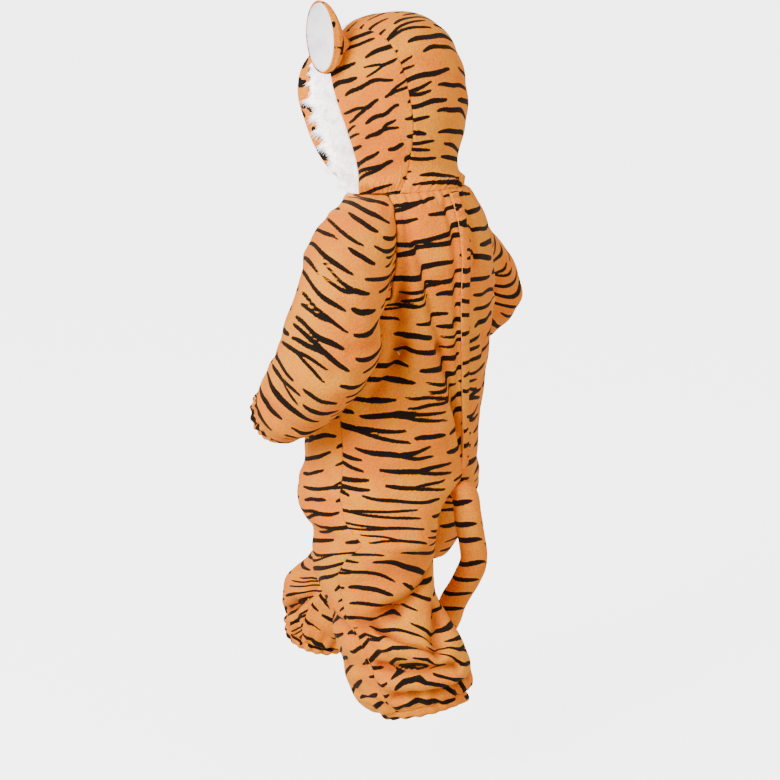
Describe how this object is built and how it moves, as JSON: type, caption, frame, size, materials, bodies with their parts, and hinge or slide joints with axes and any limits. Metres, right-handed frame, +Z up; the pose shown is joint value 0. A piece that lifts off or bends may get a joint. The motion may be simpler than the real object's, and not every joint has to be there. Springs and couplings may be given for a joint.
{
  "type": "child's tiger costume",
  "caption": "Hooded one-piece plush tiger costume for a toddler, worn shape in mid-step, with round ears, fur-trimmed hood, gathered cuffs and a tail.",
  "frame": {"origin": "in the middle of the neckline, where the wearer's neck and shoulders carry the garment, 0.700 m above the ground the wearer stands on", "axes": "+Z up, the wearer faces -Y, +X is the wearer's left"},
  "size_m": [0.4289, 0.3303, 0.8605],
  "materials": {
    "tiger_plush": "short plush, orange with black stripes",
    "white_fur": "long white pile",
    "white_plush": "short white plush"
  },
  "bodies": {
    "root": {"front_left": "tiger_plush", "front_right": "tiger_plush", "back_left": "tiger_plush", "back_right": "tiger_plush", "sleeve_left": "tiger_plush", "sleeve_right": "tiger_plush", "hood_centre": "tiger_plush", "hood_side_left": "tiger_plush", "hood_side_right": "tiger_plush", "hood_fur": "white_fur", "hood_strip": "tiger_plush", "ear_left": "tiger_plush", "ear_right": "tiger_plush", "ear_inner_left": "white_plush", "ear_inner_right": "white_plush", "back_placket": "tiger_plush", "tail": "tiger_plush", "wrist_casing_left": "tiger_plush", "wrist_casing_right": "tiger_plush", "ankle_casing_left": "tiger_plush", "ankle_casing_right": "tiger_plush"}
  },
  "joints": []
}
